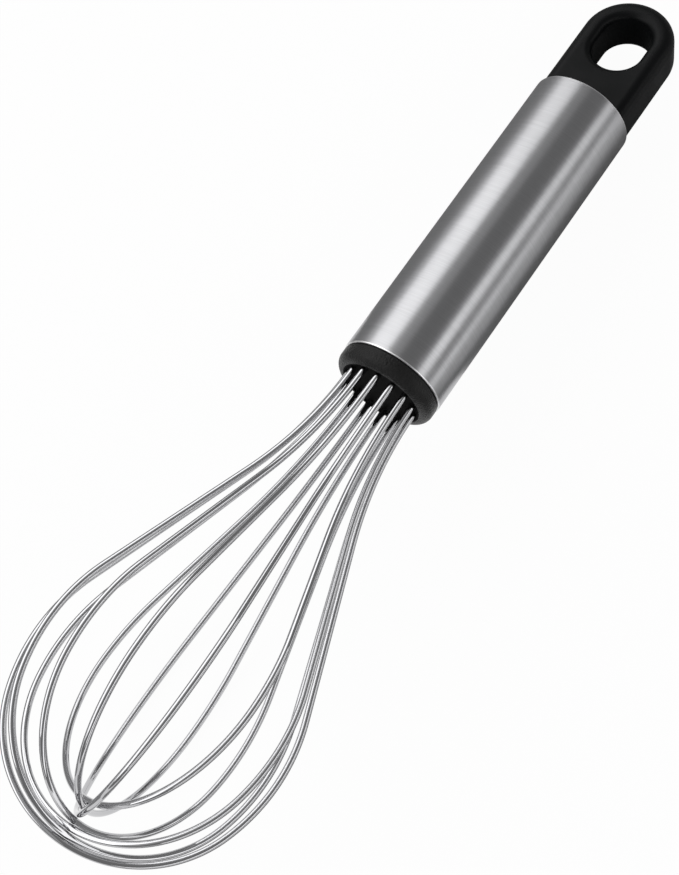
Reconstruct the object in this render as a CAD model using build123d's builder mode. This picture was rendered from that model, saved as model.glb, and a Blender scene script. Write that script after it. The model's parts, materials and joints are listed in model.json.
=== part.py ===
"""Balloon whisk: a steel tube handle with a hang cap, a front collar and seven wire loops.

The whisk lies on a table as it comes to rest: on the rear rim of its tube and on
the two lowest wires. +X runs from the cap to the tip, +Z is up, and the origin is
on the table, under the middle of the whisk. All lengths are in millimetres.
"""
import os
from math import asin, atan2, cos, degrees, hypot, radians, sin

from build123d import *

# Handle tube
tube_length = 86.4
tube_diameter = 26.0
tube_wall = 0.8
tube_lip_radius = 0.35

# Hang cap
cap_width = 23.6
cap_thickness = 12.0
cap_reach = 34.4
cap_edge_radius = 3.0
cap_roll = 16.0
cap_plug_length = 18.0
cap_plug_wall = 2.4
hang_hole_width = 12.8
hang_hole_length = 16.8
hang_hole_inset = 5.7
hang_hole_rim_radius = 2.0

# Front collar
collar_diameter = 25.6
collar_reach = 4.5
collar_rim_radius = 2.4
collar_dish_depth = 0.3
collar_dish_diameter = 20.0
collar_dish_radius = 0.15
collar_spigot_length = 17.0
collar_spigot_wall = 1.6
collar_front_wall = 8.0

# Wire loops
loop_count = 7
wire_diameter = 1.6
wire_circle_diameter = 17.7
wire_tail_length = 19.0
loop_reach = 127.2
balloon_diameter = 61.6
belly_bend_radius = 44.7
bend_share = 0.9
nose_angle = 20.0
loop_levels = (5, 3, 1, 0, 2, 6, 4)
crossing_gap = 0.05

# Pieces inside the front of the tube
retainer_thickness = 1.5
retainer_hole_diameter = 8.0
resin_depth = 6.0

# Clearances
seat_clearance = 0.05
wire_clearance = 0.05
edge_tolerance = 0.05

# Sizes that follow from the ones above
tube_radius = tube_diameter / 2
bore_radius = tube_radius - tube_wall
seat_radius = bore_radius - seat_clearance
wire_radius = wire_diameter / 2
wire_hole_radius = wire_radius + wire_clearance
wire_circle_radius = wire_circle_diameter / 2
balloon_radius = balloon_diameter / 2
strand_count = 2 * loop_count
strand_step = 360 / strand_count
first_strand = 90 + strand_step / 2
collar_face = collar_reach - collar_dish_depth
tail_end = collar_face - wire_tail_length
level_step = wire_diameter + crossing_gap
deepest_level = loop_count - 1

# The neck and belly bends together take a share of the largest ones that fit the shortest loop
shortest_reach = loop_reach - deepest_level * level_step
shortest_run = shortest_reach - balloon_radius - collar_face
strand_rise = balloon_radius - wire_circle_radius
largest_bends = (shortest_run ** 2 + strand_rise ** 2) / (2 * strand_rise)
neck_bend_radius = bend_share * largest_bends - belly_bend_radius


class LoopOutline:
    """Centre line of one loop: stations run along the axis from the tube's front end."""

    def __init__(self, level):
        """Work out the tangent lines and arcs of the loop at this level of the crossing."""
        self.tip = loop_reach - level * level_step
        self.nose = nose_angle * (1 - level / deepest_level)
        drop = belly_bend_radius * (1 - cos(radians(self.nose)))
        self.nose_radius = (balloon_radius - drop) / cos(radians(self.nose))
        nose_run = belly_bend_radius * sin(radians(self.nose))
        cap_run = self.nose_radius * (1 - sin(radians(self.nose)))
        self.belly = self.tip - nose_run - cap_run
        run = self.belly - collar_face
        rise = balloon_radius - belly_bend_radius - wire_circle_radius - neck_bend_radius
        reach = neck_bend_radius + belly_bend_radius
        self.flare = degrees(atan2(rise, run) + asin(reach / hypot(rise, run)))
        self.neck_end = collar_face + neck_bend_radius * sin(radians(self.flare))
        self.neck_radius = wire_circle_radius + neck_bend_radius * (1 - cos(radians(self.flare)))
        self.belly_start = self.belly - belly_bend_radius * sin(radians(self.flare))
        self.belly_start_radius = balloon_radius - belly_bend_radius * (1 - cos(radians(self.flare)))


# The two lowest wires are half a step each side of straight down
rest_spread = cos(radians(strand_step / 2))
rest_outline = LoopOutline(loop_levels[-1])
lie_angle = 0.0
for settling in range(strand_count):
    lean_rise = rest_spread * cos(lie_angle)
    belly_drop = (balloon_radius - belly_bend_radius) * lean_rise + wire_radius
    belly_drop += belly_bend_radius * hypot(lean_rise, sin(lie_angle))
    lie_angle = asin((belly_drop - tube_radius * cos(lie_angle)) / (tube_length + rest_outline.belly))

ring_height = tube_length * sin(lie_angle) + tube_radius * cos(lie_angle)
front_run = loop_reach * cos(lie_angle) + wire_radius
rear_run = (tube_length + cap_reach - cap_width / 2) * cos(lie_angle) + cap_width / 2
ring_forward = (rear_run - front_run) / 2

# The whisk's axis: local z runs towards the tip, local y up, local x to the right
whisk_axis = Plane(
    origin=(ring_forward, 0, ring_height),
    x_dir=(0, 1, 0),
    z_dir=(cos(lie_angle), 0, sin(lie_angle)),
)


def plane_along_axis(turn):
    """Plane that holds the axis: local x towards the tip, local y outwards, turned from up."""
    outwards = whisk_axis.y_dir.rotate(Axis((0, 0, 0), whisk_axis.z_dir), turn)
    return Plane(
        origin=whisk_axis.origin,
        x_dir=whisk_axis.z_dir,
        z_dir=whisk_axis.z_dir.cross(outwards),
    )


upright_plane = plane_along_axis(0)
turning_axis = Axis(whisk_axis.origin, whisk_axis.z_dir)

os.makedirs("parts", exist_ok=True)

# Handle tube: open at both ends, with its four end edges rounded and polished
with BuildPart() as handle_tube:
    with BuildSketch(upright_plane):
        with BuildLine():
            Polyline(
                (-tube_length, bore_radius),
                (0, bore_radius),
                (0, tube_radius),
                (-tube_length, tube_radius),
                close=True,
            )
        make_face()
        fillet(vertices(), radius=tube_lip_radius)
    revolve(axis=turning_axis)
handle_tube.part.label = "handle_tube"
export_step(handle_tube.part, "parts/handle_tube.step")

# Hang cap: a round-ended slab with a long hole, on a hollow plug inside the tube
cap_plane = plane_along_axis(cap_roll)
slab_plane = Plane(origin=cap_plane.origin, x_dir=cap_plane.x_dir, z_dir=cap_plane.y_dir)
cap_top = -tube_length - cap_reach
cap_centre = cap_top + cap_width / 2
hang_hole_centre = cap_top + hang_hole_inset + hang_hole_length / 2
cap_root = -tube_length


def on_slab_face(edge):
    """True for an edge that lies in one of the slab's two flat faces."""
    height = abs(slab_plane.to_local_coords(edge.center()).Z)
    return abs(height - cap_thickness / 2) < edge_tolerance


def on_outline(edge):
    """True for an edge of the slab's outline, save the two where it meets the tube."""
    station = slab_plane.to_local_coords(edge.center()).X
    return on_slab_face(edge) and station < cap_root - edge_tolerance


def on_hole_rim(edge):
    """True for an edge round one of the two mouths of the hanging hole."""
    middle = slab_plane.to_local_coords(edge.center())
    beside = abs(middle.Y) < hang_hole_width / 2 + edge_tolerance
    along = abs(middle.X - hang_hole_centre) < hang_hole_length / 2 + edge_tolerance
    return on_slab_face(edge) and beside and along


with BuildPart() as hang_cap:
    with BuildSketch(slab_plane):
        with BuildLine():
            Line((cap_root, -cap_width / 2), (cap_centre, -cap_width / 2))
            CenterArc((cap_centre, 0), cap_width / 2, -90, -180)
            Line((cap_centre, cap_width / 2), (cap_root, cap_width / 2))
            Line((cap_root, cap_width / 2), (cap_root, -cap_width / 2))
        make_face()
    extrude(amount=cap_thickness / 2, both=True)
    fillet(edges().filter_by(on_outline), radius=cap_edge_radius)
    with BuildSketch(slab_plane.offset(-cap_thickness)):
        with Locations((hang_hole_centre, 0)):
            SlotOverall(hang_hole_length, hang_hole_width)
    extrude(amount=2 * cap_thickness, mode=Mode.SUBTRACT)
    fillet(edges().filter_by(on_hole_rim), radius=hang_hole_rim_radius)
    with BuildSketch(whisk_axis.offset(-tube_length)):
        Circle(seat_radius)
    extrude(amount=cap_plug_length)
    with BuildSketch(whisk_axis.offset(cap_plug_length - tube_length)):
        Circle(seat_radius - cap_plug_wall)
    extrude(amount=cap_plug_wall - cap_plug_length, mode=Mode.SUBTRACT)
hang_cap.part.label = "hang_cap"
export_step(hang_cap.part, "parts/hang_cap.step")

# Front collar: a rounded shoulder with a dished face, on a hollow spigot inside the tube
collar_radius = collar_diameter / 2
dish_radius = collar_dish_diameter / 2
spigot_bore_radius = seat_radius - collar_spigot_wall
front_wall_back = collar_face - collar_front_wall
with BuildPart() as front_collar:
    with BuildSketch(upright_plane):
        with BuildLine():
            Polyline(
                (front_wall_back, 0),
                (front_wall_back, spigot_bore_radius),
                (-collar_spigot_length, spigot_bore_radius),
                (-collar_spigot_length, seat_radius),
                (0, seat_radius),
                (0, collar_radius),
                (collar_reach, collar_radius),
                (collar_reach, dish_radius),
                (collar_face, dish_radius),
                (collar_face, 0),
                close=True,
            )
        make_face()
        fillet(vertices().group_by(Axis.X)[-1].sort_by(Axis.Y)[-1], radius=collar_rim_radius)
        fillet(vertices().group_by(Axis.X)[-1].sort_by(Axis.Y)[0], radius=collar_dish_radius)
    revolve(axis=turning_axis)
    with BuildSketch(whisk_axis.offset(front_wall_back)):
        with PolarLocations(wire_circle_radius, strand_count, start_angle=first_strand):
            Circle(wire_hole_radius)
    extrude(amount=collar_reach - front_wall_back, mode=Mode.SUBTRACT)
front_collar.part.label = "front_collar"
export_step(front_collar.part, "parts/front_collar.step")

# Wire loops: each is one bent wire, and they cross one above the other at the tip
for number, level in enumerate(loop_levels):
    outline = LoopOutline(level)
    loop_plane = plane_along_axis(strand_step / 2 + number * strand_step)
    with BuildPart() as wire_loop:
        with BuildLine(loop_plane) as centre_line:
            for side in (1, -1):
                Line((tail_end, side * wire_circle_radius), (collar_face, side * wire_circle_radius))
                CenterArc(
                    (collar_face, side * (wire_circle_radius + neck_bend_radius)),
                    neck_bend_radius,
                    -90 * side,
                    outline.flare * side,
                )
                Line(
                    (outline.neck_end, side * outline.neck_radius),
                    (outline.belly_start, side * outline.belly_start_radius),
                )
                CenterArc(
                    (outline.belly, side * (balloon_radius - belly_bend_radius)),
                    belly_bend_radius,
                    (90 + outline.flare) * side,
                    -(outline.flare + outline.nose) * side,
                )
            CenterArc(
                (outline.tip - outline.nose_radius, 0),
                outline.nose_radius,
                90 - outline.nose,
                2 * outline.nose - 180,
            )
        wire_start = Plane(
            origin=loop_plane.from_local_coords((tail_end, wire_circle_radius)),
            z_dir=whisk_axis.z_dir,
        )
        with BuildSketch(wire_start):
            Circle(wire_radius)
        sweep(path=centre_line.wires()[0])
    loop_name = f"wire_loop_{number + 1}"
    wire_loop.part.label = loop_name
    export_step(wire_loop.part, f"parts/{loop_name}.step")

# Wire retainer: a steel disc behind the front wall that keeps the fourteen tails apart
retainer_front = front_wall_back - resin_depth
with BuildPart() as wire_retainer:
    with BuildSketch(whisk_axis.offset(retainer_front)):
        Circle(spigot_bore_radius - seat_clearance)
        Circle(retainer_hole_diameter / 2, mode=Mode.SUBTRACT)
        with PolarLocations(wire_circle_radius, strand_count, start_angle=first_strand):
            Circle(wire_hole_radius, mode=Mode.SUBTRACT)
    extrude(amount=-retainer_thickness)
wire_retainer.part.label = "wire_retainer"
export_step(wire_retainer.part, "parts/wire_retainer.step")

# Sealing resin: cast between the front wall and the retainer, round the tails
with BuildPart() as sealing_resin:
    with BuildSketch(whisk_axis.offset(front_wall_back)):
        Circle(spigot_bore_radius - seat_clearance)
        with PolarLocations(wire_circle_radius, strand_count, start_angle=first_strand):
            Circle(wire_hole_radius, mode=Mode.SUBTRACT)
    extrude(amount=-resin_depth)
sealing_resin.part.label = "sealing_resin"
export_step(sealing_resin.part, "parts/sealing_resin.step")
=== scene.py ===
"""Balloon whisk: the looks of its tube, cap, collar and wires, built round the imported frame."""

import json
from math import asin, atan2, cos, hypot, pi, radians, sin

import bmesh
import bpy
from mathutils import Matrix, Vector


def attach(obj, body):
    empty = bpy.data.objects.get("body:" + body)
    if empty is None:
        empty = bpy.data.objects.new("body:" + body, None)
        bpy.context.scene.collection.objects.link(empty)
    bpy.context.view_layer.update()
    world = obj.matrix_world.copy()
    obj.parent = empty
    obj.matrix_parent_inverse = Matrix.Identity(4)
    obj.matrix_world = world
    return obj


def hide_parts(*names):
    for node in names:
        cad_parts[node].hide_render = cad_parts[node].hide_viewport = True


bl_info = {
    "name": "Balloon whisk",
    "version": (1, 0, 0),
    "blender": (4, 5, 0),
    "location": "3D View > Sidebar > Whisk",
    "description": "Builds the visible pieces of a balloon whisk, and the table it lies on",
    "category": "Add Mesh",
}

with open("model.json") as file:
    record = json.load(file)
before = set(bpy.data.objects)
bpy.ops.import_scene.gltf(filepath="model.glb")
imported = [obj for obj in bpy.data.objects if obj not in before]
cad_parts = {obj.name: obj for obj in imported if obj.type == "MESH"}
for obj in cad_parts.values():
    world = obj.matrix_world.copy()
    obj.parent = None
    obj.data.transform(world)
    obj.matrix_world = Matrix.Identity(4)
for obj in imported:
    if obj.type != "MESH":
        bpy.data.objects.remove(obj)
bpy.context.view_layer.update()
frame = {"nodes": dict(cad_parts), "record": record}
BODY = "root"
MILLIMETRE = 0.001
QUARTER_TURN = pi / 2
LOOP_COUNT = 7
STRAND_COUNT = 2 * LOOP_COUNT
# How far down each loop passes in the crossing at the tip, 0 outermost
LOOP_LEVELS = (5, 3, 1, 0, 2, 6, 4)
DEEPEST_LEVEL = LOOP_COUNT - 1
GRIP = frame["record"]["mounts"][0]
# Pressed seats inside the tube are drawn this much smaller than its bore
SEAT_CLEARANCE = 0.05 * MILLIMETRE
# Width of the broken edges round the collar's holes
BROKEN_EDGE = 0.18 * MILLIMETRE
# The buffed rim of the tube reaches this many times the rounding of its lips
BUFFED_SHARE = 1.4
# All the softboxes are alike in length, distance and place along the whisk, in metres
SOFTBOX_LENGTH = 3.2
SOFTBOX_DISTANCE = 1.0
SOFTBOX_CENTRE = (0.45, 0.0, 0.02)
ROOM_BRIGHTNESS = 0.235
# How much of the table's look is plain white; the rest keeps the whisk's shadow
WHITE_SHARE = 0.96


def linear(hex_colour):
    """Turn an sRGB hex colour such as "C8C9CB" into the linear values that sockets take."""
    values = []
    for start in (0, 2, 4):
        share = int(hex_colour[start:start + 2], 16) / 255
        values.append(share / 12.92 if share <= 0.04045 else ((share + 0.055) / 1.055) ** 2.4)
    return tuple(values)


def length(name, description, millimetres):
    """A length setting, given in millimetres and kept in metres."""
    return bpy.props.FloatProperty(
        name=name,
        description=description,
        default=millimetres * MILLIMETRE,
        min=0.0,
        precision=5,
        unit="LENGTH",
    )


def colour(name, description, hex_colour):
    """A colour setting, given as an sRGB hex value."""
    return bpy.props.FloatVectorProperty(
        name=name,
        description=description,
        default=linear(hex_colour),
        min=0.0,
        max=1.0,
        size=3,
        subtype="COLOR",
    )


class WhiskTubeSizes(bpy.types.PropertyGroup):
    """Sizes of the handle tube."""

    length: length("Length", "Length of the tube from rim to rim", 86.4)
    diameter: length("Diameter", "Outside diameter of the tube", 26.0)
    wall: length("Wall", "Thickness of the sheet the tube is rolled from", 0.8)
    lip: length("Lip radius", "Rounding of the polished rims", 0.35)


class WhiskCapSizes(bpy.types.PropertyGroup):
    """Sizes of the hang cap."""

    width: length("Width", "Width of the cap across its flat faces", 23.6)
    thickness: length("Thickness", "Thickness of the cap through its hole", 12.0)
    reach: length("Reach", "How far the cap stands out of the tube", 34.4)
    edge_radius: length("Edge radius", "Rounding of the cap's outline", 3.0)
    hole_width: length("Hole width", "Width of the hanging hole", 12.8)
    hole_length: length("Hole length", "Length of the hanging hole", 16.8)
    hole_inset: length("Hole inset", "From the end of the cap to the hanging hole", 5.7)
    rim_radius: length("Rim radius", "Rounding of the hole's two mouths", 2.0)
    plug_length: length("Plug length", "Length of the plug inside the tube", 18.0)
    plug_wall: length("Plug wall", "Wall of the hollow plug", 2.4)
    roll: bpy.props.FloatProperty(
        name="Roll",
        description="Turn of the flat faces about the tube, from facing straight up",
        default=radians(16.0),
        subtype="ANGLE",
    )


class WhiskCollarSizes(bpy.types.PropertyGroup):
    """Sizes of the front collar."""

    diameter: length("Diameter", "Outside diameter of the collar", 25.6)
    reach: length("Reach", "How far the collar stands out of the tube", 4.5)
    shoulder: length("Shoulder radius", "Rounding of the collar's front edge", 2.4)
    seam: length("Seam", "Shadow gap beside the tube, as wide as it is deep", 0.45)
    dish_depth: length("Dish depth", "How deep the front face is let in", 0.3)
    dish_diameter: length("Dish diameter", "Diameter of the let-in front face", 20.0)
    wall: length("Front wall", "Depth of the wall that holds the wires", 8.0)
    spigot_length: length("Spigot length", "Length of the spigot inside the tube", 17.0)
    spigot_wall: length("Spigot wall", "Wall of the spigot", 1.6)
    hole_diameter: length("Hole diameter", "Diameter of the holes for the wires", 1.7)


class WhiskWireSizes(bpy.types.PropertyGroup):
    """Sizes of the seven wire loops."""

    diameter: length("Wire diameter", "Diameter of the wire", 1.6)
    circle: length("Hole circle", "Diameter of the circle where the wires leave the collar", 17.7)
    tail: length("Tail", "Length of wire held inside the collar", 19.0)
    reach: length("Reach", "From the tube to the outermost wire at the tip", 127.2)
    balloon: length("Balloon diameter", "Width of the loops, between wire centres", 61.6)
    belly_bend: length("Belly bend", "Radius of the wide part of each loop", 44.7)
    crossing: length("Crossing step", "Step from one wire to the next at the tip", 1.65)
    bend_share: bpy.props.FloatProperty(
        name="Bend share",
        description="Share that the neck and belly bends take of the room in the shortest loop",
        default=0.9,
        subtype="FACTOR",
    )
    nose: bpy.props.FloatProperty(
        name="Nose angle",
        description="Turn left for the nose bend on each side of the outermost loop",
        default=radians(20.0),
        subtype="ANGLE",
    )


class WhiskColours(bpy.types.PropertyGroup):
    """Colours of the whisk and its table."""

    tube: colour("Tube", "Brushed stainless steel", "ADADAF")
    lip: colour("Rims", "Buffed rims of the tube", "E6E6E7")
    wire: colour("Wire", "Polished stainless wire", "BFBFC1")
    cap: colour("Cap", "Black moulded plastic of the cap", "0B0C0D")
    collar: colour("Collar", "Black moulded plastic of the collar", "090909")
    retainer: colour("Retainer", "Stamped steel disc inside the tube", "B4B5B7")
    resin: colour("Resin", "Cast resin inside the tube", "9A7B3F")
    table: colour("Table", "Table under the whisk", "F4F4F4")
    dark_card: colour("Dark card", "Card that darkens the edges of the steel", "A6A6A6")
    pale_card: colour("Pale card", "Card that lights the handle's right side", "F0F0F0")


class WhiskStageSizes(bpy.types.PropertyGroup):
    """The photograph's camera, measured from the front end of the tube."""

    table_side: length("Table side", "Side of the square table top", 4000.0)
    focal: bpy.props.FloatProperty(
        name="Focal length",
        description="Focal length on a 36 mm wide film, in millimetres",
        default=73.85,
        subtype="DISTANCE_CAMERA",
    )
    across: length("Across", "From the camera's axis to the tube's front end, across", 1.956)
    down: bpy.props.FloatProperty(
        name="Down",
        description="From the camera's axis to the tube's front end, along the tube",
        default=-18.02 * MILLIMETRE,
        unit="LENGTH",
    )
    distance: length("Distance", "From the camera to the tube's front end", 415.75)
    tilt: bpy.props.FloatProperty(
        name="Tilt",
        description="How far the camera leans along the tube, from square on",
        default=0.3316,
        subtype="ANGLE",
    )
    yaw: bpy.props.FloatProperty(
        name="Yaw",
        description="How far the camera is swung to one side",
        default=0.0078,
        subtype="ANGLE",
    )
    roll: bpy.props.FloatProperty(
        name="Roll",
        description="Turn of the whisk about its own axis, seen by the camera",
        default=radians(6.96),
        subtype="ANGLE",
    )
    turn: bpy.props.FloatProperty(
        name="Turn",
        description="Turn of the whole picture",
        default=radians(35.25),
        subtype="ANGLE",
    )


class WhiskSettings(bpy.types.PropertyGroup):
    """All the whisk's settings."""

    tube: bpy.props.PointerProperty(type=WhiskTubeSizes, name="Tube", description="Handle tube")
    cap: bpy.props.PointerProperty(type=WhiskCapSizes, name="Cap", description="Hang cap")
    collar: bpy.props.PointerProperty(
        type=WhiskCollarSizes, name="Collar", description="Front collar"
    )
    wires: bpy.props.PointerProperty(type=WhiskWireSizes, name="Wires", description="Wire loops")
    colours: bpy.props.PointerProperty(type=WhiskColours, name="Colours", description="Colours")
    stage: bpy.props.PointerProperty(type=WhiskStageSizes, name="Stage", description="Camera")


# Places along the whisk


def whisk_place(tube_length, turn=0.0):
    """Where the front end of the tube is: local x towards the tip, local z outwards.

    The turn is about the whisk's own axis and starts from up. Both the place and the
    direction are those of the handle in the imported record.
    """
    towards_tip = -Vector(GRIP["axis"]).normalized()
    lie = asin(towards_tip.z)
    front = Vector(GRIP["pos_m"]) + towards_tip * tube_length / 2
    return (
        Matrix.Translation(front)
        @ Matrix.Rotation(-lie, 4, "Y")
        @ Matrix.Rotation(turn, 4, "X")
    )


# Mesh helpers


def along_x():
    """Turns a flat shape's own axis onto x."""
    return Matrix.Rotation(QUARTER_TURN, 4, "Y")


def carry_on(mesh, ring, offset):
    """Draw the ring of edges out in a straight run, and return the new ring."""
    drawn = bmesh.ops.extrude_edge_only(mesh, edges=ring)["geom"]
    bmesh.ops.translate(
        mesh, verts=[v for v in drawn if isinstance(v, bmesh.types.BMVert)], vec=offset
    )
    return [e for e in drawn if isinstance(e, bmesh.types.BMEdge)]


def bend(mesh, ring, centre, angle, steps, axis=(0.0, 1.0, 0.0)):
    """Draw the ring of edges round a bend, in the xz plane unless told, and return its end."""
    drawn = bmesh.ops.spin(
        mesh,
        geom=ring,
        cent=centre,
        axis=axis,
        angle=angle,
        steps=steps,
        use_duplicate=False,
    )["geom_last"]
    return [e for e in drawn if isinstance(e, bmesh.types.BMEdge)]


def arc_from(mesh, vert, centre, angle, steps):
    """Draw one vertex round an arc in the yz plane, and return the last vertex."""
    drawn = bmesh.ops.spin(
        mesh,
        geom=[vert],
        cent=centre,
        axis=(1.0, 0.0, 0.0),
        angle=angle,
        steps=steps,
        use_duplicate=False,
    )["geom_last"]
    return [v for v in drawn if isinstance(v, bmesh.types.BMVert)][0]


def turned_solid(mesh, corners, steps):
    """Turn a closed outline of (station, radius) corners about the x axis."""
    verts = [mesh.verts.new((station, 0.0, radius)) for station, radius in corners]
    edges = [mesh.edges.new((verts[i - 1], verts[i])) for i in range(len(verts))]
    bmesh.ops.spin(
        mesh,
        geom=verts + edges,
        cent=(0.0, 0.0, 0.0),
        axis=(1.0, 0.0, 0.0),
        angle=2 * pi,
        steps=steps,
        use_merge=True,
        use_duplicate=False,
    )
    bmesh.ops.remove_doubles(mesh, verts=mesh.verts, dist=0.001 * MILLIMETRE)
    bmesh.ops.recalc_face_normals(mesh, faces=mesh.faces)


def round_edges(mesh, edges, radius, segments):
    """Round these edges."""
    bmesh.ops.bevel(
        mesh,
        geom=edges,
        offset=radius,
        offset_type="OFFSET",
        segments=segments,
        profile=0.5,
        affect="EDGES",
        material=-1,
        clamp_overlap=True,
    )


def rings_at(mesh, station, radius):
    """The edges of a turned shape that go round it at this station and radius."""
    close = 0.01 * MILLIMETRE
    found = []
    for edge in mesh.edges:
        ends = [(abs(v.co.x - station), abs(hypot(v.co.y, v.co.z) - radius)) for v in edge.verts]
        if max(max(end) for end in ends) < close:
            found.append(edge)
    return found


def finish_piece(mesh, name, place, sharp_angle=radians(35.0)):
    """Make the mesh an object at the origin, with smooth faces and sharp corners kept."""
    bmesh.ops.transform(mesh, matrix=place, verts=mesh.verts)
    bmesh.ops.recalc_face_normals(mesh, faces=mesh.faces)
    for face in mesh.faces:
        face.smooth = True
    for edge in mesh.edges:
        if len(edge.link_faces) == 2 and edge.calc_face_angle() > sharp_angle:
            edge.smooth = False
    data = bpy.data.meshes.new(name)
    mesh.to_mesh(data)
    mesh.free()
    piece = bpy.data.objects.new(name, data)
    bpy.context.scene.collection.objects.link(piece)
    return piece


def dress(piece, material):
    """Give a finished piece its material, and let it ride on the whisk."""
    piece.data.materials.append(material)
    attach(piece, BODY)
    return piece


# Materials


def add_node(tree, kind, settings=None, links=None):
    """Add a node, give it its settings and socket values, and link outputs to its inputs."""
    node = tree.nodes.new(kind)
    for name, value in (settings or {}).items():
        if isinstance(name, int) or name in node.inputs:
            node.inputs[name].default_value = value
        else:
            setattr(node, name, value)
    for name, output in (links or {}).items():
        tree.links.new(output, node.inputs[name])
    return node


def new_material(name):
    """An empty node material, and its tree."""
    material = bpy.data.materials.new(name)
    material.use_nodes = True
    material.node_tree.nodes.clear()
    return material, material.node_tree


def per_metre(millimetres):
    """The scale at which a pattern on Object coordinates repeats at this size."""
    return 1 / (millimetres * MILLIMETRE)


def along_whisk(tree, place):
    """Object coordinates turned so that x runs along the whisk."""
    coordinates = add_node(tree, "ShaderNodeTexCoord")
    turned = place.inverted()
    return add_node(
        tree,
        "ShaderNodeMapping",
        {
            "vector_type": "POINT",
            "Location": turned.to_translation(),
            "Rotation": turned.to_euler(),
        },
        {"Vector": coordinates.outputs["Object"]},
    ).outputs["Vector"]


def brushed_stainless(colours, place):
    """Stainless steel tube, brushed round and round on a lathe."""
    # Scratches run round the tube, so a lamp's reflection is drawn out into a long
    # band along it, while the bands stay fairly sharp from one to the next
    material, tree = new_material("Brushed stainless steel")
    along = along_whisk(tree, place)
    # Scratches 0.3 mm wide and some 15 mm long: real ones are finer, too fine to show
    stretched = add_node(
        tree, "ShaderNodeMapping", {"Scale": (1.0, 0.02, 0.02)}, {"Vector": along}
    )
    scratches = add_node(
        tree,
        "ShaderNodeTexNoise",
        {"Scale": per_metre(0.3), "Detail": 3.0, "Roughness": 0.7},
        {"Vector": stretched.outputs["Vector"]},
    )
    # Handling leaves soft cloudy patches about 12 mm across
    clouds = add_node(
        tree, "ShaderNodeTexNoise", {"Scale": per_metre(12.0), "Detail": 1.0}, {"Vector": along}
    )
    tone = add_node(
        tree,
        "ShaderNodeMapRange",
        {"From Min": 0.25, "From Max": 0.75, "To Min": 0.92, "To Max": 1.08},
        {"Value": scratches.outputs["Fac"]},
    )
    tint = add_node(
        tree,
        "ShaderNodeVectorMath",
        {"operation": "SCALE", 0: tuple(colours.tube)},
        {"Scale": tone.outputs["Result"]},
    )
    roughness = add_node(
        tree,
        "ShaderNodeMapRange",
        {"From Min": 0.25, "From Max": 0.75, "To Min": 0.33, "To Max": 0.37},
        {"Value": clouds.outputs["Fac"]},
    )
    # The scratches blur what the steel reflects along the whisk's own axis
    axis = place.to_3x3() @ Vector((1.0, 0.0, 0.0))
    blur_axis = add_node(
        tree, "ShaderNodeCombineXYZ", {"X": axis.x, "Y": axis.y, "Z": axis.z}
    )
    shader = add_node(
        tree,
        "ShaderNodeBsdfPrincipled",
        {"Metallic": 1.0, "Anisotropic": 0.8},
        {
            "Base Color": tint.outputs["Vector"],
            "Roughness": roughness.outputs["Result"],
            "Tangent": blur_axis.outputs["Vector"],
        },
    )
    add_node(tree, "ShaderNodeOutputMaterial", None, {"Surface": shader.outputs["BSDF"]})
    return material


def polished_lip(colours, place):
    """The tube's two rims, buffed after cutting."""
    # Buffing leaves a bright edge that catches the lamps as a thin white line, with
    # faint marks some 2 mm long where the wheel turned
    material, tree = new_material("Buffed stainless rim")
    along = along_whisk(tree, place)
    marks = add_node(
        tree, "ShaderNodeTexNoise", {"Scale": per_metre(2.0), "Detail": 2.0}, {"Vector": along}
    )
    roughness = add_node(
        tree,
        "ShaderNodeMapRange",
        {"From Min": 0.3, "From Max": 0.7, "To Min": 0.3, "To Max": 0.4},
        {"Value": marks.outputs["Fac"]},
    )
    shader = add_node(
        tree,
        "ShaderNodeBsdfPrincipled",
        {"Metallic": 1.0, "Base Color": (*colours.lip, 1.0)},
        {"Roughness": roughness.outputs["Result"]},
    )
    add_node(tree, "ShaderNodeOutputMaterial", None, {"Surface": shader.outputs["BSDF"]})
    return material


def polished_wire(colours, place):
    """Drawn stainless wire, electropolished."""
    # Drawing and polishing leave a mirror finish with faint waviness, so each wire
    # shows the lamps and the table as thin lines along it
    material, tree = new_material("Polished stainless wire")
    along = along_whisk(tree, place)
    # Faint waviness about 2.5 mm long, from the polishing bath
    waves = add_node(
        tree, "ShaderNodeTexNoise", {"Scale": per_metre(2.5), "Detail": 2.0}, {"Vector": along}
    )
    roughness = add_node(
        tree,
        "ShaderNodeMapRange",
        {"From Min": 0.3, "From Max": 0.7, "To Min": 0.03, "To Max": 0.06},
        {"Value": waves.outputs["Fac"]},
    )
    shader = add_node(
        tree,
        "ShaderNodeBsdfPrincipled",
        {"Metallic": 1.0, "Base Color": (*colours.wire, 1.0)},
        {"Roughness": roughness.outputs["Result"]},
    )
    add_node(tree, "ShaderNodeOutputMaterial", None, {"Surface": shader.outputs["BSDF"]})
    return material


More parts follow.
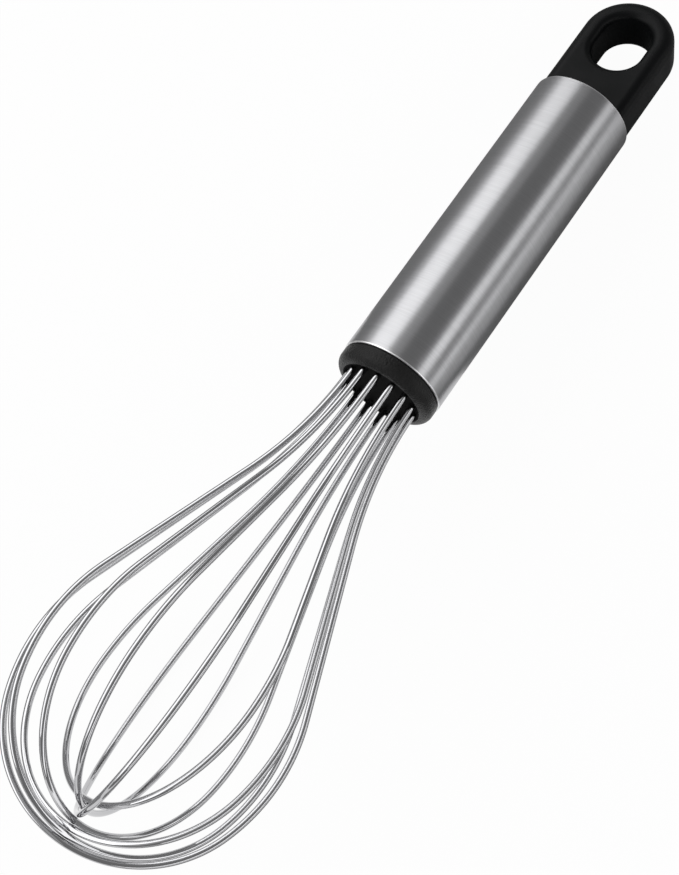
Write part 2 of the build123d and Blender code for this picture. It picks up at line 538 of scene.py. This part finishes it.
def black_plastic(name, paint, grain, depth, low, high, shine):
    """Black moulded plastic with a fine spark-eroded grain of this size and depth."""
    material, tree = new_material(name)
    coordinates = add_node(tree, "ShaderNodeTexCoord")
    grit = add_node(
        tree,
        "ShaderNodeTexNoise",
        {"Scale": per_metre(grain), "Detail": 2.0, "Roughness": 0.6},
        {"Vector": coordinates.outputs["Object"]},
    )
    # Handling polishes the high spots in soft patches about 5 mm across
    wear = add_node(
        tree,
        "ShaderNodeTexNoise",
        {"Scale": per_metre(5.0), "Detail": 3.0},
        {"Vector": coordinates.outputs["Object"]},
    )
    tone = add_node(
        tree,
        "ShaderNodeMapRange",
        {"From Min": 0.3, "From Max": 0.7, "To Min": 0.85, "To Max": 1.15},
        {"Value": grit.outputs["Fac"]},
    )
    tint = add_node(
        tree,
        "ShaderNodeVectorMath",
        {"operation": "SCALE", 0: tuple(paint)},
        {"Scale": tone.outputs["Result"]},
    )
    roughness = add_node(
        tree,
        "ShaderNodeMapRange",
        {"From Min": 0.3, "From Max": 0.7, "To Min": low, "To Max": high},
        {"Value": wear.outputs["Fac"]},
    )
    bump = add_node(
        tree,
        "ShaderNodeBump",
        {"Strength": 0.5, "Distance": depth * MILLIMETRE},
        {"Height": grit.outputs["Fac"]},
    )
    shader = add_node(
        tree,
        "ShaderNodeBsdfPrincipled",
        {"IOR": 1.5, "Specular IOR Level": shine},
        {
            "Base Color": tint.outputs["Vector"],
            "Roughness": roughness.outputs["Result"],
            "Normal": bump.outputs["Normal"],
        },
    )
    add_node(tree, "ShaderNodeOutputMaterial", None, {"Surface": shader.outputs["BSDF"]})
    return material


def stamped_steel(colours):
    """Stainless sheet, stamped and left bare."""
    # Sheet from the mill is dull, with a fine even grain
    material, tree = new_material("Stamped stainless sheet")
    coordinates = add_node(tree, "ShaderNodeTexCoord")
    grain = add_node(
        tree,
        "ShaderNodeTexNoise",
        {"Scale": per_metre(0.3), "Detail": 3.0},
        {"Vector": coordinates.outputs["Object"]},
    )
    roughness = add_node(
        tree,
        "ShaderNodeMapRange",
        {"From Min": 0.3, "From Max": 0.7, "To Min": 0.35, "To Max": 0.5},
        {"Value": grain.outputs["Fac"]},
    )
    shader = add_node(
        tree,
        "ShaderNodeBsdfPrincipled",
        {"Metallic": 1.0, "Base Color": (*colours.retainer, 1.0)},
        {"Roughness": roughness.outputs["Result"]},
    )
    add_node(tree, "ShaderNodeOutputMaterial", None, {"Surface": shader.outputs["BSDF"]})
    return material


def cast_resin(colours):
    """Amber epoxy, cast in place."""
    # Cast epoxy sets glossy, with a few clouds where it was stirred
    material, tree = new_material("Cast epoxy resin")
    coordinates = add_node(tree, "ShaderNodeTexCoord")
    clouds = add_node(
        tree,
        "ShaderNodeTexNoise",
        {"Scale": per_metre(4.0), "Detail": 2.0},
        {"Vector": coordinates.outputs["Object"]},
    )
    tone = add_node(
        tree,
        "ShaderNodeMapRange",
        {"From Min": 0.3, "From Max": 0.7, "To Min": 0.85, "To Max": 1.1},
        {"Value": clouds.outputs["Fac"]},
    )
    tint = add_node(
        tree,
        "ShaderNodeVectorMath",
        {"operation": "SCALE", 0: tuple(colours.resin)},
        {"Scale": tone.outputs["Result"]},
    )
    shader = add_node(
        tree,
        "ShaderNodeBsdfPrincipled",
        {"Roughness": 0.12, "IOR": 1.55},
        {"Base Color": tint.outputs["Vector"]},
    )
    add_node(tree, "ShaderNodeOutputMaterial", None, {"Surface": shader.outputs["BSDF"]})
    return material


def white_table(colours):
    """Matt white laminate that the camera and the steel see as plain white."""
    material, tree = new_material("Matt white laminate")
    paths = add_node(tree, "ShaderNodeLightPath")
    camera_or_gloss = add_node(
        tree,
        "ShaderNodeMath",
        {"operation": "MAXIMUM"},
        {0: paths.outputs["Is Camera Ray"], 1: paths.outputs["Is Glossy Ray"]},
    )
    seen = add_node(
        tree,
        "ShaderNodeMath",
        {"operation": "MAXIMUM"},
        {0: camera_or_gloss.outputs["Value"], 1: paths.outputs["Is Transmission Ray"]},
    )
    white_share = add_node(
        tree, "ShaderNodeMath", {"operation": "MULTIPLY", 1: WHITE_SHARE}, {0: seen.outputs["Value"]}
    )
    laminate = add_node(
        tree,
        "ShaderNodeBsdfPrincipled",
        {"Base Color": (*colours.table, 1.0), "Roughness": 0.8},
    )
    white = add_node(tree, "ShaderNodeEmission", {"Color": (1.0, 1.0, 1.0, 1.0), "Strength": 1.0})
    mixed = add_node(
        tree,
        "ShaderNodeMixShader",
        None,
        {
            0: white_share.outputs["Value"],
            1: laminate.outputs["BSDF"],
            2: white.outputs["Emission"],
        },
    )
    add_node(tree, "ShaderNodeOutputMaterial", None, {"Surface": mixed.outputs["Shader"]})
    return material


def matt_card(name, paint):
    """Matt card of this grey."""
    # Uncoated card, with no shine at all, so the steel sees one flat grey
    material, tree = new_material(name)
    paper = add_node(
        tree,
        "ShaderNodeBsdfPrincipled",
        {"Base Color": (*paint, 1.0), "Roughness": 1.0, "Specular IOR Level": 0.0},
    )
    add_node(tree, "ShaderNodeOutputMaterial", None, {"Surface": paper.outputs["BSDF"]})
    return material


# Pieces


def tube_mesh(sizes):
    """The tube, turned from its wall, with four rounded lips."""
    mesh = bmesh.new()
    outside = sizes.diameter / 2
    bore = outside - sizes.wall
    turned_solid(
        mesh,
        [(-sizes.length, bore), (0.0, bore), (0.0, outside), (-sizes.length, outside)],
        steps=160,
    )
    lips = []
    for station in (-sizes.length, 0.0):
        for radius in (bore, outside):
            lips += rings_at(mesh, station, radius)
    round_edges(mesh, lips, sizes.lip, segments=6)
    end_zone = BUFFED_SHARE * sizes.lip
    for face in mesh.faces:
        middle = face.calc_center_median().x
        if middle > -end_zone or middle < end_zone - sizes.length:
            face.material_index = 1
    return mesh


def wall_section(mesh, station, flat_end, wall, half, angle):
    """The section of a wall with both corners rounded, and its edges.

    It starts on the upper flat face at flat_end and goes over to the lower one, with
    the wall between them at y = wall.
    """
    radius = abs(wall - flat_end)
    before = set(mesh.edges)
    corner = mesh.verts.new((station, flat_end, half))
    corner = arc_from(mesh, corner, (station, flat_end, half - radius), angle, steps=10)
    corner = bmesh.ops.extrude_vert_indiv(mesh, verts=[corner])["verts"][0]
    corner.co.z = radius - half
    arc_from(mesh, corner, (station, flat_end, radius - half), angle, steps=10)
    return [edge for edge in mesh.edges if edge not in before]


def flat_face(mesh, height, root):
    """Fill the flat face at this height, between the outline, the tube and the hole."""
    close = 0.01 * MILLIMETRE
    rim = [
        e
        for e in mesh.edges
        if len(e.link_faces) == 1 and all(abs(v.co.z - height) < close for v in e.verts)
    ]
    ends = [v for e in rim for v in e.verts if abs(v.co.x - root) < close]
    rim.append(mesh.edges.new(ends))
    bmesh.ops.triangle_fill(
        mesh, use_beauty=True, use_dissolve=False, edges=rim, normal=(0.0, 0.0, 1.0)
    )


def cap_slab_mesh(tube, sizes):
    """The cap outside the tube: a round-ended slab with a long hole through it."""
    mesh = bmesh.new()
    upright = (0.0, 0.0, 1.0)
    root = -tube.length
    top = root - sizes.reach
    half = sizes.thickness / 2
    half_width = sizes.width / 2
    half_hole = sizes.hole_width / 2
    round_centre = top + half_width
    hole_top = top + sizes.hole_inset + half_hole
    hole_bottom = top + sizes.hole_inset + sizes.hole_length - half_hole

    flat_end = sizes.edge_radius - half_width
    wall = wall_section(mesh, root, flat_end, -half_width, half, QUARTER_TURN)
    wall = carry_on(mesh, wall, (round_centre - root, 0.0, 0.0))
    wall = bend(mesh, wall, (round_centre, 0.0, 0.0), -pi, 64, upright)
    carry_on(mesh, wall, (root - round_centre, 0.0, 0.0))

    flat_end = -half_hole - sizes.rim_radius
    wall = wall_section(mesh, hole_bottom, flat_end, -half_hole, half, -QUARTER_TURN)
    wall = carry_on(mesh, wall, (hole_top - hole_bottom, 0.0, 0.0))
    wall = bend(mesh, wall, (hole_top, 0.0, 0.0), -pi, 48, upright)
    wall = carry_on(mesh, wall, (hole_bottom - hole_top, 0.0, 0.0))
    bend(mesh, wall, (hole_bottom, 0.0, 0.0), -pi, 48, upright)
    bmesh.ops.remove_doubles(mesh, verts=mesh.verts, dist=0.005 * MILLIMETRE)

    flat_face(mesh, half, root)
    flat_face(mesh, -half, root)
    open_edges = [e for e in mesh.edges if len(e.link_faces) == 1]
    bmesh.ops.holes_fill(mesh, edges=open_edges, sides=0)
    return mesh


def cap_plug_mesh(tube, sizes, seat):
    """The cap's hollow plug, closed by the disc that the slab stands on."""
    mesh = bmesh.new()
    end = -tube.length + sizes.plug_length
    floor = -tube.length + sizes.plug_wall
    inside = seat - sizes.plug_wall
    turned_solid(
        mesh,
        [
            (-tube.length, 0.0),
            (-tube.length, seat),
            (end, seat),
            (end, inside),
            (floor, inside),
            (floor, 0.0),
        ],
        steps=112,
    )
    return mesh


def collar_mesh(tube, sizes, seat):
    """The collar, turned from its outline with its spigot."""
    mesh = bmesh.new()
    outside = sizes.diameter / 2
    dish = sizes.dish_diameter / 2
    face = sizes.reach - sizes.dish_depth
    back = face - sizes.wall
    bore = seat - sizes.spigot_wall
    turned_solid(
        mesh,
        [
            (back, 0.0),
            (back, bore),
            (-sizes.spigot_length, bore),
            (-sizes.spigot_length, seat),
            (0.0, seat),
            (0.0, outside - sizes.seam),
            (sizes.seam, outside - sizes.seam),
            (sizes.seam, outside),
            (sizes.reach, outside),
            (sizes.reach, dish),
            (face, dish),
            (face, 0.0),
        ],
        steps=168,
    )
    round_edges(mesh, rings_at(mesh, sizes.reach, outside), sizes.shoulder, segments=12)
    round_edges(mesh, rings_at(mesh, sizes.reach, dish), sizes.dish_depth / 2, segments=3)
    return mesh


def loop_mesh(wires, collar, level):
    """One bent wire: tail, neck, run, belly and nose, and the same back again."""
    mesh = bmesh.new()
    face = collar.reach - collar.dish_depth
    start = wires.circle / 2
    balloon = wires.balloon / 2
    belly_bend = wires.belly_bend
    shortest_run = wires.reach - DEEPEST_LEVEL * wires.crossing - balloon - face
    rise = balloon - start
    largest_bends = (shortest_run ** 2 + rise ** 2) / (2 * rise)
    neck_bend = wires.bend_share * largest_bends - belly_bend
    tip = wires.reach - level * wires.crossing
    nose = wires.nose * (1 - level / DEEPEST_LEVEL)
    nose_bend = (balloon - belly_bend * (1 - cos(nose))) / cos(nose)
    belly = tip - belly_bend * sin(nose) - nose_bend * (1 - sin(nose))
    centres_apart = Vector((belly - face, balloon - belly_bend - start - neck_bend))
    flare = atan2(centres_apart.y, centres_apart.x)
    flare += asin((neck_bend + belly_bend) / centres_apart.length)
    bow = 1 - cos(flare)
    neck_end = Vector((face + neck_bend * sin(flare), start + neck_bend * bow))
    belly_start = Vector((belly - belly_bend * sin(flare), balloon - belly_bend * bow))
    run = belly_start - neck_end
    made = bmesh.ops.create_circle(
        mesh,
        cap_ends=False,
        segments=32,
        radius=wires.diameter / 2,
        matrix=Matrix.Translation((face - wires.tail, 0.0, start)) @ along_x(),
    )
    ring = list({edge for vert in made["verts"] for edge in vert.link_edges})
    first_ring = list(ring)
    ring = carry_on(mesh, ring, (wires.tail, 0.0, 0.0))
    ring = bend(mesh, ring, (face, 0.0, start + neck_bend), -flare, steps=20)
    ring = carry_on(mesh, ring, (run.x, 0.0, run.y))
    ring = bend(mesh, ring, (belly, 0.0, balloon - belly_bend), flare + nose, steps=36)
    ring = bend(mesh, ring, (tip - nose_bend, 0.0, 0.0), pi - 2 * nose, steps=90)
    ring = bend(mesh, ring, (belly, 0.0, belly_bend - balloon), flare + nose, steps=36)
    ring = carry_on(mesh, ring, (-run.x, 0.0, run.y))
    ring = bend(mesh, ring, (face, 0.0, -start - neck_bend), -flare, steps=20)
    ring = carry_on(mesh, ring, (-wires.tail, 0.0, 0.0))
    bmesh.ops.holes_fill(mesh, edges=first_ring + ring, sides=0)
    return mesh


# Operators


class WHISK_OT_handle_tube(bpy.types.Operator):
    """Build the brushed steel tube"""

    bl_idname = "whisk.handle_tube"
    bl_label = "Handle tube"

    def execute(self, context):
        """Turn the tube and dress it."""
        settings = context.scene.whisk
        place = whisk_place(settings.tube.length)
        tube = finish_piece(tube_mesh(settings.tube), "brushed_tube", place)
        dress(tube, brushed_stainless(settings.colours, place))
        tube.data.materials.append(polished_lip(settings.colours, place))
        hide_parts("handle_tube")
        return {"FINISHED"}


class WHISK_OT_hang_cap(bpy.types.Operator):
    """Build the black hang cap"""

    bl_idname = "whisk.hang_cap"
    bl_label = "Hang cap"

    def execute(self, context):
        """Make the slab and the plug, and dress them as one piece."""
        settings = context.scene.whisk
        seat = settings.tube.diameter / 2 - settings.tube.wall - SEAT_CLEARANCE
        place = whisk_place(settings.tube.length, settings.cap.roll)
        # Satin ABS: an even near-black face, with soft wide highlights only where the
        # rounded edges and the hole's rim turn towards a lamp
        satin = black_plastic(
            "Moulded ABS, satin", settings.colours.cap, 0.25, 0.02, 0.34, 0.44, 0.1
        )
        slab = finish_piece(cap_slab_mesh(settings.tube, settings.cap), "cap_slab", place)
        dress(slab, satin)
        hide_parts("hang_cap")
        plug = finish_piece(cap_plug_mesh(settings.tube, settings.cap, seat), "cap_plug", place)
        dress(plug, satin)
        return {"FINISHED"}


class WHISK_OT_front_collar(bpy.types.Operator):
    """Build the black collar that the wires leave by"""

    bl_idname = "whisk.front_collar"
    bl_label = "Front collar"

    def execute(self, context):
        """Turn the collar, drill its fourteen holes and dress it."""
        settings = context.scene.whisk
        sizes = settings.collar
        seat = settings.tube.diameter / 2 - settings.tube.wall - SEAT_CLEARANCE
        place = whisk_place(settings.tube.length)
        collar = finish_piece(collar_mesh(settings.tube, sizes, seat), "collar_body", place)
        face = sizes.reach - sizes.dish_depth
        drills = bmesh.new()
        for number in range(STRAND_COUNT):
            turn = (number + 0.5) * 2 * pi / STRAND_COUNT
            bmesh.ops.create_cone(
                drills,
                cap_ends=True,
                segments=24,
                radius1=sizes.hole_diameter / 2,
                radius2=sizes.hole_diameter / 2,
                depth=2 * sizes.wall,
                matrix=Matrix.Rotation(turn, 4, "X")
                @ Matrix.Translation((face - sizes.wall / 2, 0.0, settings.wires.circle / 2))
                @ along_x(),
            )
        cutter = finish_piece(drills, "drills", place)
        drilling = collar.modifiers.new("Holes for the wires", "BOOLEAN")
        drilling.operation = "DIFFERENCE"
        drilling.solver = "EXACT"
        drilling.object = cutter
        breaking = collar.modifiers.new("Broken edges", "BEVEL")
        breaking.width = BROKEN_EDGE
        breaking.segments = 2
        breaking.limit_method = "ANGLE"
        breaking.angle_limit = radians(50.0)
        breaking.harden_normals = True
        context.view_layer.update()
        cut = bpy.data.meshes.new_from_object(
            collar.evaluated_get(context.evaluated_depsgraph_get())
        )
        collar.modifiers.clear()
        collar.data = cut
        bpy.data.objects.remove(cutter)
        # Grained nylon: blacker than the cap, with a grey, sandy sheen on the shoulder
        # that faces the lamps, because each grain catches a little of their light
        grained = black_plastic(
            "Moulded nylon, fine grain", settings.colours.collar, 0.45, 0.6, 0.34, 0.44, 0.26
        )
        dress(collar, grained)
        # The face that the wires leave by gets a copy of the nylon with almost no shine, as painted
        # shade, so the recessed face stays black beside them
        painted_shade_nylon = black_plastic(
            "Moulded nylon, painted shade on face", settings.colours.collar, 0.45, 0.1, 0.55, 0.65, 0.02
        )
        collar.data.materials.append(painted_shade_nylon)
        # Faces in front of the tube, inside the dish and its rounding, take the painted shade copy
        to_whisk = place.inverted()
        for polygon in collar.data.polygons:
            spot = to_whisk @ polygon.center
            off_axis = Vector((spot.y, spot.z)).length
            if spot.x > 0.0 and off_axis < sizes.dish_diameter / 2 + sizes.dish_depth:
                polygon.material_index = 1
        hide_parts("front_collar")
        return {"FINISHED"}


class WHISK_OT_wire_loops(bpy.types.Operator):
    """Build the seven polished wire loops"""

    bl_idname = "whisk.wire_loops"
    bl_label = "Wire loops"

    def execute(self, context):
        """Bend each wire and dress it."""
        settings = context.scene.whisk
        polished = polished_wire(settings.colours, whisk_place(settings.tube.length))
        for number, level in enumerate(LOOP_LEVELS):
            turn = (number + 0.5) * 2 * pi / STRAND_COUNT
            loop = finish_piece(
                loop_mesh(settings.wires, settings.collar, level),
                f"bright_loop_{number + 1}",
                whisk_place(settings.tube.length, turn),
            )
            dress(loop, polished)
            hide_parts(f"wire_loop_{number + 1}")
        return {"FINISHED"}


class WHISK_OT_hidden_pieces(bpy.types.Operator):
    """Give the pieces inside the tube their materials"""

    bl_idname = "whisk.hidden_pieces"
    bl_label = "Hidden pieces"

    def execute(self, context):
        """Dress the retainer and the resin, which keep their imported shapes."""
        colours = context.scene.whisk.colours
        for name, material in (
            ("wire_retainer", stamped_steel(colours)),
            ("sealing_resin", cast_resin(colours)),
        ):
            node = frame["nodes"][name]
            node.data.materials.clear()
            node.data.materials.append(material)
        return {"FINISHED"}


def softbox(name, energy, width, lean):
    """A long softbox beside the whisk, leaned from upright by this many degrees."""
    lamp = bpy.data.lights.new(name, "AREA")
    lamp.energy = energy
    lamp.shape = "RECTANGLE"
    lamp.size = SOFTBOX_LENGTH
    lamp.size_y = width
    holder = bpy.data.objects.new(name, lamp)
    # The handle sends the camera's rays some way back and the bent wires send them
    # forwards, so the softboxes reach well past both ends of the whisk
    holder.matrix_world = (
        Matrix.Translation(SOFTBOX_CENTRE)
        @ Matrix.Rotation(radians(-lean), 4, "X")
        @ Matrix.Translation((0.0, 0.0, SOFTBOX_DISTANCE))
    )
    bpy.context.scene.collection.objects.link(holder)


def lay_card(name, material, stations, sides):
    """A card on the table, hidden from the camera, that darkens what the steel mirrors."""
    mesh = bmesh.new()
    bmesh.ops.create_grid(mesh, x_segments=1, y_segments=1, size=0.5)
    bmesh.ops.scale(
        mesh, verts=mesh.verts, vec=(stations[1] - stations[0], sides[1] - sides[0], 1.0)
    )
    bmesh.ops.translate(
        mesh,
        verts=mesh.verts,
        vec=((stations[0] + stations[1]) / 2, (sides[0] + sides[1]) / 2, MILLIMETRE),
    )
    card = finish_piece(mesh, name.replace(", ", "_").replace(" ", "_"), Matrix.Identity(4))
    card.data.materials.append(material)
    card.visible_camera = False
    card.visible_diffuse = False
    card.visible_shadow = False


class WHISK_OT_stage(bpy.types.Operator):
    """Lay the table, set the lamps and place the photograph's camera"""

    bl_idname = "whisk.stage"
    bl_label = "Stage"

    def execute(self, context):
        """Build the table, the lamps, the world and the camera."""
        scene = context.scene
        stage = scene.whisk.stage
        table = bmesh.new()
        bmesh.ops.create_grid(table, x_segments=1, y_segments=1, size=stage.table_side / 2)
        top = finish_piece(table, "table_top", Matrix.Identity(4))
        top.data.materials.append(white_table(scene.whisk.colours))

        world = bpy.data.worlds.new("Studio")
        scene.world = world
        world.use_nodes = True
        world.node_tree.nodes.clear()
        room = add_node(
            world.node_tree,
            "ShaderNodeBackground",
            {"Color": (1.0, 1.0, 1.0, 1.0), "Strength": ROOM_BRIGHTNESS},
        )
        add_node(
            world.node_tree, "ShaderNodeOutputWorld", None, {"Surface": room.outputs["Background"]}
        )
        softbox("Left softbox", 16.0, 0.85, -56.0)
        softbox("Overhead fill", 1.1, 0.42, -20.0)
        softbox("Right softbox", 5.0, 0.32, 52.0)
        softbox("Low right softbox", 2.4, 0.2, 85.0)
        softbox("Low left softbox", 1.0, 0.2, -86.0)
        dark = matt_card("Matt dark grey card", scene.whisk.colours.dark_card)
        pale = matt_card("Matt pale grey card", scene.whisk.colours.pale_card)
        lay_card("Card beside the wires, left", dark, (-0.02, 0.3), (-0.8, -0.036))
        lay_card("Card beside the wires, right", dark, (-0.02, 0.3), (0.036, 0.8))
        lay_card("Card under the handle", dark, (-0.5, -0.02), (-0.8, 0.05))
        lay_card("Card beside the handle", pale, (-0.5, -0.02), (0.05, 0.8))

        place = whisk_place(scene.whisk.tube.length)
        along = (place.to_3x3() @ Vector((1.0, 0.0, 0.0))).normalized()
        side = Vector((0.0, 1.0, 0.0))
        up = (place.to_3x3() @ Vector((0.0, 0.0, 1.0))).normalized()
        first = cos(stage.roll) * side - sin(stage.roll) * up
        second = along.cross(first)
        across = cos(stage.yaw) * first - sin(stage.yaw) * along
        down = (
            sin(stage.yaw) * cos(stage.tilt) * first
            - sin(stage.tilt) * second
            + cos(stage.yaw) * cos(stage.tilt) * along
        )
        away = (
            -sin(stage.yaw) * sin(stage.tilt) * first
            - cos(stage.tilt) * second
            - cos(stage.yaw) * sin(stage.tilt) * along
        )
        right = cos(stage.turn) * across - sin(stage.turn) * down
        upwards = -(sin(stage.turn) * across + cos(stage.turn) * down)
        eye = place.to_translation() - (
            stage.across * across + stage.down * down + stage.distance * away
        )
        lens = bpy.data.cameras.new("Camera")
        lens.lens = stage.focal
        lens.sensor_width = 36.0
        lens.sensor_fit = "AUTO"
        lens.clip_start = 0.01
        lens.clip_end = 20.0
        camera = bpy.data.objects.new("Camera", lens)
        camera.matrix_world = (
            Matrix.Translation(eye) @ Matrix((right, upwards, -away)).transposed().to_4x4()
        )
        scene.collection.objects.link(camera)
        scene.camera = camera
        scene.view_settings.view_transform = "Standard"
        return {"FINISHED"}


class VIEW3D_PT_whisk(bpy.types.Panel):
    """The whisk's settings and pieces"""

    bl_idname = "VIEW3D_PT_whisk"
    bl_label = "Balloon whisk"
    bl_space_type = "VIEW_3D"
    bl_region_type = "UI"
    bl_category = "Whisk"

    def draw(self, context):
        """List the pieces, and the settings under each heading."""
        layout = self.layout
        for piece in OPERATORS:
            layout.operator(piece.bl_idname)
        whisk = context.scene.whisk
        for heading in ("tube", "cap", "collar", "wires", "colours", "stage"):
            box = layout.box()
            box.label(text=heading.capitalize())
            group = getattr(whisk, heading)
            for name in group.__annotations__:
                box.prop(group, name)


OPERATORS = (
    WHISK_OT_handle_tube,
    WHISK_OT_hang_cap,
    WHISK_OT_front_collar,
    WHISK_OT_wire_loops,
    WHISK_OT_hidden_pieces,
    WHISK_OT_stage,
)
CLASSES = (
    WhiskTubeSizes,
    WhiskCapSizes,
    WhiskCollarSizes,
    WhiskWireSizes,
    WhiskColours,
    WhiskStageSizes,
    WhiskSettings,
    *OPERATORS,
    VIEW3D_PT_whisk,
)


def register():
    """Register the classes and hang the settings on the scene."""
    for made in CLASSES:
        bpy.utils.register_class(made)
    bpy.types.Scene.whisk = bpy.props.PointerProperty(
        type=WhiskSettings, name="Whisk", description="Sizes and colours of the whisk"
    )


def unregister():
    """Take the settings and the classes away again."""
    del bpy.types.Scene.whisk
    for made in reversed(CLASSES):
        bpy.utils.unregister_class(made)


def main():
    """Build every piece in order."""
    register()
    bpy.ops.whisk.handle_tube()
    bpy.ops.whisk.hang_cap()
    bpy.ops.whisk.front_collar()
    bpy.ops.whisk.wire_loops()
    bpy.ops.whisk.hidden_pieces()
    bpy.ops.whisk.stage()


if __name__ == "__main__":
    main()
